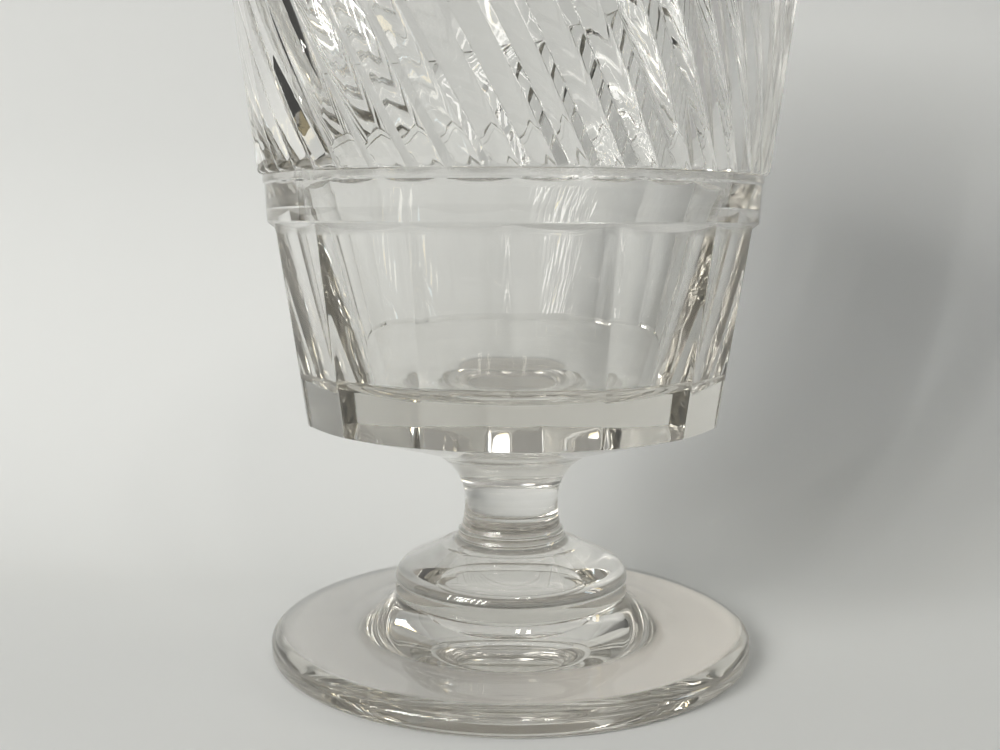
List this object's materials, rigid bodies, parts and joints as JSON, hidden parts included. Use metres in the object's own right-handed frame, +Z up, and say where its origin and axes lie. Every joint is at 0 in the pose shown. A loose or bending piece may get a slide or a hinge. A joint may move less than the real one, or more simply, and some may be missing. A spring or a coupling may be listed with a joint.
{
  "type": "rummer drinking glass",
  "caption": "Short-stemmed clear cut-glass rummer: bucket bowl with flat flutes, a plain band and slanting cuts, round knop and thick foot.",
  "frame": {"origin": "middle of the foot's underside, on the surface that the glass stands on", "axes": "+Z up along the axis of the glass, from foot to rim; -Y towards the front in the picture; +X to the right"},
  "size_m": [0.09, 0.09, 0.1318],
  "materials": {
    "glass": "polished clear lead glass with a faint warm grey tint, hand-cut facets and light wear"
  },
  "bodies": {
    "root": {"rummer": "glass"}
  },
  "joints": []
}
